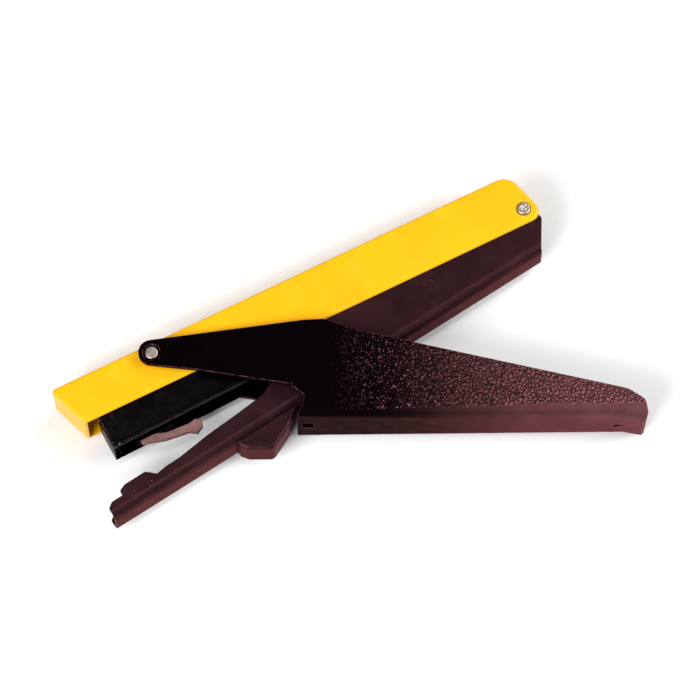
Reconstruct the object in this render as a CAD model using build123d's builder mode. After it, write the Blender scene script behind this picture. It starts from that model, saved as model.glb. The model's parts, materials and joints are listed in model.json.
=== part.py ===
from build123d import *
import os
from math import cos, radians, sin, tan

# Stapling plier lying on its side: three nested channels hinged on one rear pivot,
# and a lever handle pinned near the nose that squeezes them together.
# X runs along the cover towards its rear, Y from the anvil towards the cover's top,
# and Z across the tool, from the side it lies on towards its upper side. Millimetres.
# Cover, magazine and anvil arm are each drawn straight, about the rear pivot, on a
# plane turned by that channel's own opening angle.

# ---------------------------------------------------------------- driving dimensions
magazine_angle = 1.5        # magazine droop below the cover, at rest
magazine_closing = 2.1      # how far it swings up as the handle closes
arm_angle = 6.8             # anvil arm opening below the cover, at rest
arm_closing = 6.35
paper_gap = 0.5             # between magazine and anvil when closed
gap = 0.3                   # between pieces that move past each other
thin_gap = 0.1              # between a staple, or what follows it, and its guide
rivet_fit = 0.02            # radial clearance of what is pressed or riveted in
fit = 0.05                  # radial running clearance of pins and sleeves

staple_crown = 12.6         # outside width of one staple
staple_play = 0.4           # total width left beside a staple, inside and outside
staple_leg = 6.0
staple_wire = 0.5
strip_length = 50.0

magazine_wall = 0.7
magazine_bend = 0.9
magazine_base = 12.3        # outside of the magazine's floor, below the pivot
magazine_rise = 6.0         # top of its side walls, above the pivot
magazine_reach = 202.2      # nose face, ahead of the pivot
bead_height = 0.3
bead_line = 10.4            # bead's centre line, below the pivot
bead_width = 2.0
bead_rear = 100.0
bead_front = 199.6
bead_taper = 52.0           # its sides lean in from upright, degrees
magazine_rear = 3.4         # end of its side walls, behind the pivot
rail_wall = 0.8
rail_rear = 20.0            # rear end of the staple rail, ahead of the pivot
rod_radius = 1.2
rod_above_rail = 5.1
pusher_top = 3.0
pusher_length = 10.0
stop_front, stop_rear = 27.0, 21.0
latch_ahead = 188.5         # latch pin, ahead of the pivot
latch_above_floor = 3.1     # and above the outside of the magazine's floor
latch_pin_radius = 1.0
latch_width = 3.2

arm_wall = 1.0
arm_base = 19.4             # outside of the arm's web, below the pivot
arm_reach = 218.4
arm_bend = 3.9              # outside radius of the arm's bends
arm_side_top = 7.0          # top of its side walls near the pivot
hump_front, hump_rear = 210.5, 194.0     # raised cheeks beside the anvil
plate_thickness = 1.6
anvil_rivet_radius = 1.0
heel_half = 7.8             # half the heel block's width
heel_rivet_radius = 1.2
heel_rivets_ahead = (150.0, 140.0)

cover_wall = 1.2
cover_play = 0.8            # between each side of the arm and the cover
cover_top = 17.1
cover_front = 215.0         # upper front corner, ahead of the pivot
cover_drop_front = 2.5      # lower edge near the nose, below the pivot
cover_drop_rear = 6.3       # lower edge near the rear
cover_step = 120.0          # where the lower edge steps down
cover_rear = 5.9            # rear edge level with the pivot
front_lean = 19.1           # lean of the front face, degrees
rear_lean = 14.3
rear_lip = 8.5              # the cover's rear is closed above this, and open below
cover_bend = 1.4            # rounding along its folded upper edges
nose_round, rear_round = 1.5, 8.0        # outline corners at its top, front and rear

handle_wall = 1.8
washer_thickness = 1.3
pin_radius = 2.0            # front pivot pin
pin_head_radius = 2.7
pin_ahead = 170.1           # front pin, ahead of the rear pivot
pin_height = 12.0           # and above it
boss_radius = 5.5
boss_recess = 1.0

sleeve_radius = 3.0         # rear pivot sleeve
screw_radius = 1.5
screw_head_radius = 2.75
screw_head_height = 0.8

roller_radius = 3.0
roller_pin_radius = 1.5
roller_ahead = 122.0        # roller, ahead of the rear pivot along the arm

blade_thickness = 0.5
blade_slot = 2.6            # from the magazine's nose face to the first staple
holder_above_magazine = 3.2
driver_rivet_radius = 0.8
driver_rivet_apart = 8.0
leaf_thickness = 0.6        # lift spring
hairpin_wire = 0.5          # arm spring, wire radius
hairpin_pitch = 1.3

palm_slope = -26.9          # handle's palm web
palm_base = 94.0            # outside of the palm web, below the pivot along its own normal
palm_front, palm_rear = -98.0, 48.0      # ends of the web, along its own line
flare_start, flare_slope = 41.0, 0.28    # the web flares down behind this
bend_front, bend_rear = 2.5, 7.8         # outside radius of its bends
flat_base = 80.0            # above this line the side plates are flat
slot_in_palm, hole_in_palm = -91.5, 38.5
lanyard_radius = 2.0

# ---------------------------------------------------------------- derived sizes
magazine_inner = staple_crown + staple_play
magazine_outer = magazine_inner + 2 * magazine_wall
arm_inner = magazine_outer + 2 * (bead_height + gap)
arm_outer = arm_inner + 2 * arm_wall
cover_inner = arm_outer + 2 * cover_play
cover_outer = cover_inner + 2 * cover_wall
handle_inner = cover_outer + 2 * (washer_thickness + gap)
handle_outer = handle_inner + 2 * handle_wall
rail_outer = staple_crown - 2 * staple_wire - staple_play

floor_top = -magazine_base + magazine_wall           # magazine's floor, inside
crown_top = floor_top + thin_gap + staple_leg + staple_wire
rail_top = crown_top - staple_wire - 2 * thin_gap
strip_front = -magazine_reach + blade_slot
web_top = -arm_base + arm_wall                       # arm's web, inside
closed_rise = magazine_closing - magazine_angle      # magazine above the cover, closed
closed_angle = closed_rise + arm_angle - arm_closing
anvil_top = magazine_base + paper_gap - magazine_reach * tan(radians(closed_angle))

# The origin is the middle of the whole tool's outline, on the surface it lies on.
lip_base = palm_base + flare_slope * (palm_rear - flare_start)
lip_drop = lip_base * cos(radians(palm_slope)) - palm_rear * sin(radians(palm_slope))
nose_x = arm_reach * cos(radians(arm_angle)) - (arm_base - 4.3) * sin(radians(arm_angle))
pivot_x = (nose_x - cover_rear) / 2
pivot_y = (lip_drop - pin_height - boss_radius) / 2
middle_z = handle_outer / 2


# ---------------------------------------------------------------- planes and helpers
def tool_plane(angle=0.0, height=0.0, u=0.0, v=0.0):
    """Plane across the tool's width at a height from its middle, turned about the
    rear pivot by angle, with its origin at u along and v above that turned line."""
    a = radians(angle)
    start = Vector(pivot_x + u * cos(a) - v * sin(a), pivot_y + u * sin(a) + v * cos(a),
                   middle_z + height)
    return Plane(origin=start, x_dir=(cos(a), sin(a), 0), z_dir=(0, 0, 1))


def section_plane(angle, u, v=0.0):
    """Plane square to a channel's length at u, its x to the lower side, its y up."""
    along = tool_plane(angle, 0, u, v)
    return Plane(origin=along.origin, x_dir=(0, 0, -1), z_dir=along.x_dir)


def upright_plane(angle, v, u=0.0):
    """Plane parallel to a channel's web at height v, x along it, facing the cover's top."""
    along = tool_plane(angle, 0, u, v)
    return Plane(origin=along.origin, x_dir=along.x_dir, z_dir=along.y_dir)


def outline(points, radii, mode=Mode.ADD):
    """Closed outline with its corners rounded by the radii given."""
    with BuildLine() as edge_line:
        FilletPolyline(*points, radius=radii, close=True)
    make_face(edge_line.edges(), mode=mode)


def channel_section(width, wall, base, top, bend):
    """U-shaped section, open upwards, from base to top."""
    inner = max(bend - wall, 0)
    half, hollow = width / 2, width / 2 - wall
    outline([(-half, base), (half, base), (half, top), (-half, top)], [bend, bend, 0, 0])
    outline([(-hollow, base + wall), (hollow, base + wall), (hollow, top + 1),
             (-hollow, top + 1)], [inner, inner, 0, 0], mode=Mode.SUBTRACT)


def save(piece, name):
    """Label a finished piece and write it."""
    piece.part.label = name
    export_step(piece.part, f"parts/{name}.step")


os.makedirs("parts", exist_ok=True)


# ---------------------------------------------------------------- cover
def cover_outline(inset, drop_to=None):
    """The cover's side outline, or its hollow when inset and dropped through its mouth."""
    front, rear = tan(radians(front_lean)), tan(radians(rear_lean))
    front_x = -cover_front + inset / cos(radians(front_lean))
    rear_x = cover_rear - inset / cos(radians(rear_lean))
    top = cover_top - inset
    low_front = -cover_drop_front if drop_to is None else drop_to
    low_rear = -cover_drop_rear if drop_to is None else drop_to
    points = [(front_x + (cover_top - top) * front, top),
              (front_x + (cover_top - low_front) * front, low_front),
              (-cover_step - 6, low_front), (-cover_step, low_rear),
              (rear_x - low_rear * rear, low_rear), (rear_x - top * rear, top)]
    radii = [nose_round, 1.2, 3, 3, 5, rear_round]
    if drop_to is not None:
        points = points[:2] + points[4:]
        radii = [nose_round - inset, 0, 0, rear_round - inset]
    outline(points, radii)


with BuildPart() as cover:
    with BuildSketch(tool_plane()):
        cover_outline(0)
    extrude(amount=cover_outer / 2, both=True)
    flat_sides = cover.faces().filter_by(Axis.Z)
    upper_rims = [edge for edge in flat_sides.edges()
                  if edge.center().Y > pivot_y - cover_drop_front + 1]
    fillet(upper_rims, cover_bend)
    with BuildSketch(tool_plane()):
        cover_outline(cover_wall, drop_to=-cover_drop_rear - 5)
    extrude(amount=cover_inner / 2, both=True, mode=Mode.SUBTRACT)
    # the rear is open below a short lip, where the inner channels swing
    with BuildSketch(tool_plane(0, 0, cover_rear, rear_lip)):
        Rectangle(2 * (cover_rear + 2), 4 * rear_lip, align=(Align.CENTER, Align.MAX))
    extrude(amount=cover_inner / 2, both=True, mode=Mode.SUBTRACT)
    with BuildSketch(tool_plane()):
        Circle(screw_radius + fit)
        with Locations((-pin_ahead, pin_height)):
            Circle(pin_radius + fit)
    extrude(amount=cover_outer, both=True, mode=Mode.SUBTRACT)
save(cover, "cover")

# ---------------------------------------------------------------- front pivot
pin_head_seat = handle_outer / 2 - boss_recess       # floor of the recess in the boss
pin_head_height = 0.7
with BuildPart() as front_pivot_pin:
    with BuildSketch(tool_plane(0, 0, -pin_ahead, pin_height)):
        Circle(pin_radius)
    extrude(amount=pin_head_seat + fit, both=True)
    for side in (1, -1):
        with BuildSketch(tool_plane(0, side * (pin_head_seat + fit), -pin_ahead, pin_height)):
            Circle(pin_head_radius)
        extrude(amount=side * pin_head_height)
    rims = front_pivot_pin.edges().filter_by(GeomType.CIRCLE).group_by(Axis.Z)
    fillet(rims[0] + rims[-1], pin_head_height / 2)
save(front_pivot_pin, "front_pivot_pin")

with BuildPart() as pivot_washers:
    for side in (1, -1):
        with BuildSketch(tool_plane(0, side * cover_outer / 2, -pin_ahead, pin_height)):
            Circle(boss_radius - 0.7)
            Circle(pin_radius + fit, mode=Mode.SUBTRACT)
        extrude(amount=side * washer_thickness)
save(pivot_washers, "pivot_washers")

# ---------------------------------------------------------------- rear pivot
with BuildPart() as rear_sleeve:
    with BuildSketch(tool_plane()):
        Circle(sleeve_radius)
        Circle(screw_radius + fit, mode=Mode.SUBTRACT)
    extrude(amount=cover_inner / 2, both=True)
save(rear_sleeve, "rear_sleeve")

recess_span, recess_width = 3.0, 0.7                 # cross recess in the screw's head
nut_radius, nut_height = 3.2, 1.4
with BuildPart() as rear_screw:
    with BuildSketch(tool_plane(0, cover_outer / 2)):
        Circle(screw_head_radius)
    extrude(amount=screw_head_height)
    fillet(rear_screw.edges().group_by(Axis.Z)[-1], screw_head_height * 0.55)
    with BuildSketch(tool_plane(0, cover_outer / 2)):
        Circle(screw_radius)
    extrude(amount=-(cover_outer + nut_height - 0.4))
    with BuildSketch(tool_plane(30, cover_outer / 2 + screw_head_height)):
        Rectangle(recess_span, recess_width)
        Rectangle(recess_width, recess_span)
    extrude(amount=-screw_head_height * 0.7, mode=Mode.SUBTRACT)
save(rear_screw, "rear_screw")

with BuildPart() as rear_nut:
    with BuildSketch(tool_plane(0, -cover_outer / 2)):
        RegularPolygon(nut_radius, 6)
        Circle(screw_radius + rivet_fit, mode=Mode.SUBTRACT)
    extrude(amount=-nut_height)
save(rear_nut, "rear_nut")

# ---------------------------------------------------------------- driver in the cover's nose
staple_exit = -magazine_reach + magazine_wall + (blade_slot - magazine_wall) / 2
blade_rear = staple_exit + blade_thickness / 2
blade_tip = -magazine_base + magazine_reach * sin(radians(closed_rise))
holder_low = magazine_rise + holder_above_magazine
holder_top = cover_top - cover_wall
holder_front = -cover_front + (cover_wall / cos(radians(front_lean))
                               + (cover_top - holder_low) * tan(radians(front_lean)))
holder_rear = staple_exit - blade_thickness / 2
driver_rivets_at = [(side * driver_rivet_apart / 2, (holder_low + holder_top) / 2) for side in (-1, 1)]
driver_shank, driver_head = 3.0, 0.6

with BuildPart() as driver_blade:
    with BuildSketch(tool_plane()):
        with Locations((staple_exit, (blade_tip + holder_top) / 2)):
            Rectangle(blade_thickness, holder_top - blade_tip)
    extrude(amount=staple_crown / 2 - thin_gap, both=True)
    with BuildSketch(section_plane(0, staple_exit)):
        with Locations(*driver_rivets_at):
            Circle(driver_rivet_radius)
    extrude(amount=blade_thickness, both=True, mode=Mode.SUBTRACT)
save(driver_blade, "driver_blade")

with BuildPart() as driver_holder:
    with BuildSketch(tool_plane()):
        with Locations(((holder_front + holder_rear) / 2, (holder_low + holder_top) / 2)):
            Rectangle(holder_rear - holder_front - thin_gap, holder_top - holder_low)
    extrude(amount=cover_inner / 2 - 1.3, both=True)
    with BuildSketch(section_plane(0, holder_rear)):
        with Locations(*driver_rivets_at):
            Circle(driver_rivet_radius)
    extrude(amount=holder_front - holder_rear, mode=Mode.SUBTRACT)
save(driver_holder, "driver_holder")

with BuildPart() as driver_rivets:
    with BuildSketch(section_plane(0, blade_rear)):
        with Locations(*driver_rivets_at):
            Circle(driver_rivet_radius - rivet_fit)
    extrude(amount=-driver_shank)
    with BuildSketch(section_plane(0, blade_rear)):
        with Locations(*driver_rivets_at):
            Circle(driver_rivet_radius + 0.6)
    extrude(amount=driver_head)
save(driver_rivets, "driver_rivets")

# ---------------------------------------------------------------- magazine
latch_u, latch_v = -latch_ahead, -magazine_base + latch_above_floor
floor_end = -22.0                                    # the floor stops ahead of the pivot
with BuildPart() as magazine_channel:
    with BuildSketch(section_plane(magazine_angle, -magazine_reach + magazine_wall)):
        channel_section(magazine_outer, magazine_wall, -magazine_base, magazine_rise, magazine_bend)
    extrude(amount=magazine_reach - magazine_wall + magazine_rear)
    # staple mouth in the floor, and the slot that the latch lever swings in
    with BuildSketch(upright_plane(magazine_angle, -magazine_base, -magazine_reach + magazine_wall)):
        Rectangle(2 * (blade_slot - magazine_wall), staple_crown + 2 * thin_gap)
    extrude(amount=2 * magazine_wall, both=True, mode=Mode.SUBTRACT)
    with BuildSketch(upright_plane(magazine_angle, -magazine_base, latch_u + 4.5)):
        Rectangle(18, latch_width + 1.4)
    extrude(amount=2 * magazine_wall, both=True, mode=Mode.SUBTRACT)
    # the floor and the lower sides stop short of the rear spring
    with BuildSketch(tool_plane(magazine_angle, 0, floor_end, -magazine_base)):
        Rectangle(-2 * floor_end, 2 * (magazine_base - 7.5), align=(Align.MIN, Align.CENTER))
    extrude(amount=magazine_outer, both=True, mode=Mode.SUBTRACT)
    with BuildSketch(tool_plane(magazine_angle)):
        Circle(sleeve_radius + fit)
    extrude(amount=magazine_outer, both=True, mode=Mode.SUBTRACT)
    # long stiffening bead pressed out of each side
    bead_middle = -(bead_front + bead_rear) / 2
    for side in (1, -1):
        with BuildSketch(tool_plane(magazine_angle, side * magazine_outer / 2, bead_middle, -bead_line)):
            SlotOverall(bead_front - bead_rear, bead_width)
        extrude(amount=side * bead_height, taper=bead_taper)
save(magazine_channel, "magazine_channel")

with BuildPart() as magazine_nose:
    with BuildSketch(section_plane(magazine_angle, -magazine_reach)):
        half, nose_top = magazine_outer / 2, magazine_rise - 4
        outline([(-half, -magazine_base), (half, -magazine_base), (half, nose_top), (-half, nose_top)],
                [magazine_bend, magazine_bend, 1, 1])
    extrude(amount=magazine_wall)
save(magazine_nose, "magazine_nose")

with BuildPart() as staple_rail:
    with BuildSketch(section_plane(magazine_angle, strip_front)):
        with Locations((0, (floor_top + rail_top) / 2)):
            Rectangle(rail_outer, rail_top - floor_top)
        with Locations((0, (floor_top + rail_top) / 2 - rail_wall)):
            Rectangle(rail_outer - 2 * rail_wall, rail_top - floor_top, mode=Mode.SUBTRACT)
    extrude(amount=-rail_rear - strip_front)
    with BuildSketch(tool_plane(magazine_angle, 0, latch_u, latch_v)):
        Circle(latch_pin_radius + fit)
    extrude(amount=rail_outer, both=True, mode=Mode.SUBTRACT)
save(staple_rail, "staple_rail")

with BuildPart() as staple_strip:
    with BuildSketch(section_plane(magazine_angle, strip_front)):
        with Locations((0, crown_top - (staple_leg + staple_wire) / 2)):
            Rectangle(staple_crown, staple_leg + staple_wire)
        with Locations((0, crown_top - staple_wire - (staple_leg + staple_wire) / 2)):
            Rectangle(staple_crown - 2 * staple_wire, staple_leg + staple_wire, mode=Mode.SUBTRACT)
    extrude(amount=strip_length)
save(staple_strip, "staple_strip")

# ---------------------------------------------------------------- pusher on its rod
rod_height = rail_top + rod_above_rail
pusher_low = crown_top - staple_leg - staple_wire
pusher_front = strip_front + strip_length + thin_gap
rod_grip = 4.0                                       # length of rod ahead of the pusher's front
with BuildPart() as pusher:
    with BuildSketch(section_plane(magazine_angle, pusher_front)):
        with Locations((0, (pusher_low + pusher_top) / 2)):
            Rectangle(magazine_inner - 8 * thin_gap, pusher_top - pusher_low)
        with Locations((0, rail_top + 1.5 * thin_gap)):
            Rectangle(rail_outer + 3 * thin_gap, 2 * (rail_top - floor_top),
                      align=(Align.CENTER, Align.MAX), mode=Mode.SUBTRACT)
        with Locations((0, rod_height)):
            Circle(rod_radius + fit, mode=Mode.SUBTRACT)
    extrude(amount=pusher_length)
save(pusher, "pusher")

with BuildPart() as spring_stop:
    with BuildSketch(section_plane(magazine_angle, -stop_front)):
        with Locations((0, (rail_top + pusher_top) / 2)):
            Rectangle(magazine_inner, pusher_top - rail_top)
        with Locations((0, rod_height)):
            Circle(rod_radius + rivet_fit, mode=Mode.SUBTRACT)
    extrude(amount=stop_front - stop_rear)
save(spring_stop, "spring_stop")

with BuildPart() as pusher_rod:
    with BuildSketch(section_plane(magazine_angle, pusher_front - rod_grip)):
        with Locations((0, rod_height)):
            Circle(rod_radius)
    extrude(amount=rod_grip - stop_rear - pusher_front + 1.5)
    chamfer(pusher_rod.faces().sort_by(Axis.X)[0].edges(), rod_radius / 4)
save(pusher_rod, "pusher_rod")

coil_wire, coil_radius, coil_turns = 0.35, 2.1, 24
coil_front = pusher_front + pusher_length + coil_wire + thin_gap
coil_length = -stop_front - coil_front - coil_wire - thin_gap
coil_start = section_plane(magazine_angle, coil_front, rod_height)
with BuildPart() as pusher_spring:
    with BuildLine() as coil_line:
        Helix(pitch=coil_length / coil_turns, height=coil_length, radius=coil_radius,
              center=coil_start.origin, direction=coil_start.z_dir)
    with BuildSketch(Plane(origin=coil_line.line @ 0, z_dir=coil_line.line % 0)):
        Circle(coil_wire)
    sweep(is_frenet=True)
save(pusher_spring, "pusher_spring")

# ---------------------------------------------------------------- magazine latch
latch_plane = tool_plane(magazine_angle, 0, latch_u, latch_v)
with BuildPart() as latch_pin:
    with BuildSketch(latch_plane):
        Circle(latch_pin_radius)
    extrude(amount=rail_outer / 2, both=True)
save(latch_pin, "latch_pin")

with BuildPart() as latch_lever:
    # a shank that slopes down through the magazine's floor, and a fishtail finger pad
    with BuildSketch(latch_plane):
        outline([(-2.1, 0.6), (-1.6, -4.0), (8.0, -7.2), (18.2, -8.8), (21.2, -10.8), (24.3, -9.2),
                 (25.4, -7.0), (22.8, -5.1), (19.6, -5.7), (9.5, -4.8), (2.2, -1.8), (2.0, 1.2)],
                [0, 1, 2, 1, 0.5, 0.8, 0.5, 0.5, 0.8, 2, 1, 0])
        Circle(latch_pin_radius + 1.1)
        Circle(latch_pin_radius + fit, mode=Mode.SUBTRACT)
    extrude(amount=latch_width / 2, both=True)
save(latch_lever, "latch_lever")

blade_half = 0.2                                     # half the latch spring's thickness
roof = rail_top - rail_wall - blade_half - fit - latch_v
with BuildPart() as latch_spring:
    with BuildSketch(latch_plane):
        with BuildLine():
            blade = Polyline((strip_front + 2 - latch_u, roof), (6.0, roof), (3.2, 0.3), (3.6, -0.6))
            offset(blade, amount=blade_half, side=Side.BOTH)
        make_face()
    extrude(amount=latch_width / 2 - thin_gap, both=True)
save(latch_spring, "latch_spring")

# ---------------------------------------------------------------- anvil arm
shoulder = -anvil_top - 3.5                          # beside the raised cheeks
anvil_rivets_at = [(-hump_front + 4.5, (web_top - anvil_top - plate_thickness) / 2),
                   (-hump_rear - 4.0, (web_top - anvil_top - plate_thickness) / 2)]
heel_rivets_at = [(-ahead, 0) for ahead in heel_rivets_ahead]
with BuildPart() as anvil_arm:
    with BuildSketch(section_plane(arm_angle, -arm_reach)):
        channel_section(arm_outer, arm_wall, -arm_base, arm_side_top + 3, arm_bend)
    extrude(amount=arm_reach + 8)
    with BuildSketch(tool_plane(arm_angle)):
        outline([(-arm_reach, -arm_base - 1), (-arm_reach, shoulder - 1.9), (-arm_reach + 2.5, shoulder),
                 (-hump_front, shoulder), (-hump_front, shoulder + 2.2), (-hump_front + 3.2, -anvil_top),
                 (-hump_rear - 3.2, -anvil_top), (-hump_rear + 0.5, shoulder),
                 (-188.5, 7.5 - arm_base), (-182, 7.6 - arm_base), (-167, 9.4 - arm_base),
                 (-152.5, 10.3 - arm_base), (-138, 11.5 - arm_base), (-104, arm_side_top),
                 (2.4, arm_side_top), (4.6, -arm_side_top), (-3.2, 1.4 - arm_base),
                 (-4.0, -arm_base - 1)],
                [0, 1.5, 1.5, 0.5, 1.2, 2, 2, 0.8, 2, 3, 5, 5, 8, 6, 5, 1.5, 0.5, 0])
    extrude(amount=arm_outer, both=True, mode=Mode.INTERSECT)
    with BuildSketch(tool_plane(arm_angle)):
        Circle(sleeve_radius + fit)
        with Locations(*anvil_rivets_at):
            Circle(anvil_rivet_radius + fit)
    extrude(amount=arm_outer, both=True, mode=Mode.SUBTRACT)
    with BuildSketch(upright_plane(arm_angle, -arm_base)):
        with Locations(*heel_rivets_at):
            Circle(heel_rivet_radius + fit)
    extrude(amount=2 * arm_wall, both=True, mode=Mode.SUBTRACT)
save(anvil_arm, "anvil_arm")

block_front, block_rear = -hump_front + 1, -hump_rear - 1
block_top = -anvil_top - plate_thickness
with BuildPart() as anvil_block:
    with BuildSketch(tool_plane(arm_angle)):
        with Locations(((block_front + block_rear) / 2, (web_top + block_top) / 2)):
            Rectangle(block_rear - block_front, block_top - web_top)
    extrude(amount=arm_inner / 2, both=True)
    arm_frame = tool_plane(arm_angle)
    lower_edges = anvil_block.edges().filter_by(lambda edge: all(
        abs(arm_frame.to_local_coords(edge @ end).Y - web_top) < fit for end in (0, 1)))
    fillet(lower_edges.filter_by(lambda edge: abs((edge % 0).Z) < fit), arm_bend - arm_wall + fit)
    with BuildSketch(tool_plane(arm_angle)):
        with Locations(*anvil_rivets_at):
            Circle(anvil_rivet_radius + fit)
    extrude(amount=arm_outer, both=True, mode=Mode.SUBTRACT)
save(anvil_block, "anvil_block")

dish_length, dish_width, dish_depth = 6.4, 1.8, 0.7  # clinching grooves in the anvil's face
with BuildPart() as anvil_plate:
    with BuildSketch(tool_plane(arm_angle)):
        with Locations(((block_front + block_rear) / 2, block_top + plate_thickness / 2)):
            Rectangle(block_rear - block_front - 6, plate_thickness)
    extrude(amount=arm_inner / 2, both=True)
    with BuildSketch(upright_plane(arm_angle, -anvil_top, staple_exit)):
        with Locations((0, dish_length / 2 + 0.2), (0, -dish_length / 2 - 0.2)):
            SlotOverall(dish_length, dish_width, rotation=90)
    extrude(amount=-dish_depth, mode=Mode.SUBTRACT)
save(anvil_plate, "anvil_plate")

with BuildPart() as anvil_rivets:
    with BuildSketch(tool_plane(arm_angle)):
        with Locations(*anvil_rivets_at):
            Circle(anvil_rivet_radius)
    extrude(amount=arm_outer / 2 - fit, both=True)
save(anvil_rivets, "anvil_rivets")

heel_bore_depth = 3.0
with BuildPart() as heel_block:
    arm_underside = tool_plane(arm_angle, 0, 0, -arm_base)
    with BuildSketch(arm_underside):
        outline([(-158.3, 0), (-157.9, -2.0), (-156.0, -4.7), (-147.2, -10.6), (-136.0, -5.5), (-127.9, 0)],
                [0, 1, 1.5, 3, 2.5, 0])
    extrude(amount=heel_half, both=True)
    rims = heel_block.faces().filter_by(Axis.Z).edges().filter_by(
        lambda edge: arm_underside.to_local_coords(edge.center()).Y < -0.5)
    fillet(rims, 1.2)
    # dished face inside the pressed rim, on each side
    for side in (1, -1):
        with BuildSketch(tool_plane(arm_angle, side * heel_half, 0, -arm_base)):
            outline([(-154.6, -1.2), (-153.4, -3.2), (-147.0, -7.5), (-138.4, -3.6), (-133.6, -1.2)],
                    [0.5, 1, 1.5, 1, 0.5])
        extrude(amount=-side * 0.8, mode=Mode.SUBTRACT)
    with BuildSketch(upright_plane(arm_angle, -arm_base)):
        with Locations(*heel_rivets_at):
            Circle(heel_rivet_radius + fit)
    extrude(amount=-heel_bore_depth, mode=Mode.SUBTRACT)
save(heel_block, "heel_block")

with BuildPart() as heel_rivets:
    with BuildSketch(upright_plane(arm_angle, web_top)):
        with Locations(*heel_rivets_at):
            Circle(heel_rivet_radius)
    extrude(amount=-(arm_wall + heel_bore_depth - 4 * fit))
    with BuildSketch(upright_plane(arm_angle, web_top)):
        with Locations(*heel_rivets_at):
            Circle(heel_rivet_radius + 0.9)
    extrude(amount=0.7)
save(heel_rivets, "heel_rivets")

# ---------------------------------------------------------------- springs at the rear
hairpin_radius = sleeve_radius + 0.2 + hairpin_wire
lower_leg_turn, upper_leg_turn = -36.9, 44.4         # where each leg leaves the coil, degrees
hairpin_height = hairpin_pitch * (4 + (upper_leg_turn - lower_leg_turn) / 360)
lower_leg = (arm_base - arm_wall - hairpin_radius) / cos(radians(lower_leg_turn))
upper_leg = (cover_top - cover_wall - hairpin_radius) / cos(radians(upper_leg_turn))
with BuildPart() as arm_spring:
    coil_plane = tool_plane(0, -hairpin_height / 2)
    with BuildLine() as hairpin_line:
        turns = Helix(pitch=hairpin_pitch, height=hairpin_height, radius=hairpin_radius,
                      center=coil_plane.origin, mode=Mode.PRIVATE)
        coil = turns.rotate(Axis(coil_plane.origin, (0, 0, 1)), lower_leg_turn)
        add(coil)
        Line(coil @ 0, (coil @ 0) - (coil % 0) * lower_leg)
        Line(coil @ 1, (coil @ 1) + (coil % 1) * upper_leg)
    with BuildSketch(Plane(origin=(coil @ 0) - (coil % 0) * lower_leg, z_dir=coil % 0)):
        Circle(hairpin_wire)
    sweep(path=hairpin_line.wire(), is_frenet=True)
save(arm_spring, "arm_spring")

leaf_top = cover_top - cover_wall - leaf_thickness / 2
with BuildPart() as lift_spring:
    with BuildSketch(tool_plane()):
        with BuildLine():
            leaf = FilletPolyline((-60, leaf_top), (-80, leaf_top), (-113, magazine_rise - 0.4),
                                  (-119, magazine_rise + 0.6), radius=[12, 3])
            offset(leaf, amount=leaf_thickness / 2, side=Side.BOTH)
        make_face()
    extrude(amount=magazine_inner / 2 + magazine_wall + thin_gap, both=True)
save(lift_spring, "lift_spring")


# ---------------------------------------------------------------- handle
def palm_point(u, v):
    """Place in the tool's own plane of a point given along and above the palm's line."""
    a = radians(palm_slope)
    return u * cos(a) - v * sin(a), u * sin(a) + v * cos(a)


def boss_point(turn):
    """Place on the rim of the boss round the front pin."""
    return (-pin_ahead + boss_radius * cos(radians(turn)), pin_height + boss_radius * sin(radians(turn)))


# rounded rear end, from the lip up to the side plates' upper edge, along and above the palm's line
end_profile = [(palm_rear, -lip_base), (palm_rear + 2.6, 1.3 - palm_base),
               (palm_rear + 1.2, 7.2 - palm_base), (palm_rear - 5.8, 11.8 - palm_base)]


def side_outline():
    """Side plate with its front arm, peak, palm edge and rounded rear end."""
    low = -lip_base - 0.1
    outline([boss_point(-120), (-156.2, -3.6), (-125.1, -26.2), (-121.2, -33.8), (-124.9, -38.2),
             (-128.3, -40.4), palm_point(palm_front + 2, low), palm_point(palm_rear, low),
             *[palm_point(*place) for place in end_profile[1:]],
             (-90.5, -16.6), (-98.6, -7.4), (-107.4, -3.6), boss_point(72)],
            [0, 8, 5, 2, 1.5, 0.3, 0, 0.6, 3, 4, 8, 14, 9, 14, 0])


def palm_sections(inset):
    """Place, half width, base and bend radius of each section that the palm is lofted through."""
    for u in (palm_front, flare_start, palm_rear + 5):
        flare = flare_slope * max(0, u - flare_start)
        share = (min(u, flare_start) - palm_front) / (flare_start - palm_front)
        bend = bend_front + (bend_rear - bend_front) * share + flare
        yield u, handle_outer / 2 - inset, inset - palm_base - flare, bend - inset


# hollow of the palm, open at its front and top, and closed by the end wall
with BuildPart() as trough:
    for u, half, low, bend in palm_sections(handle_wall):
        with BuildSketch(section_plane(palm_slope, u)):
            outline([(-half, low), (half, low), (half, 1 - flat_base), (-half, 1 - flat_base)],
                    [bend, bend, 0, 0])
    loft(ruled=True)
    with BuildSketch(tool_plane()):
        outline([palm_point(palm_front - 1, -lip_base),
                 *[palm_point(u - handle_wall, v) for u, v in end_profile],
                 palm_point(palm_rear - 5.8 - handle_wall, 2 - flat_base),
                 palm_point(palm_front - 1, 2 - flat_base)], [0, 0, 2, 3, 0, 0, 0])
    extrude(amount=handle_outer, both=True, mode=Mode.INTERSECT)

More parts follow.
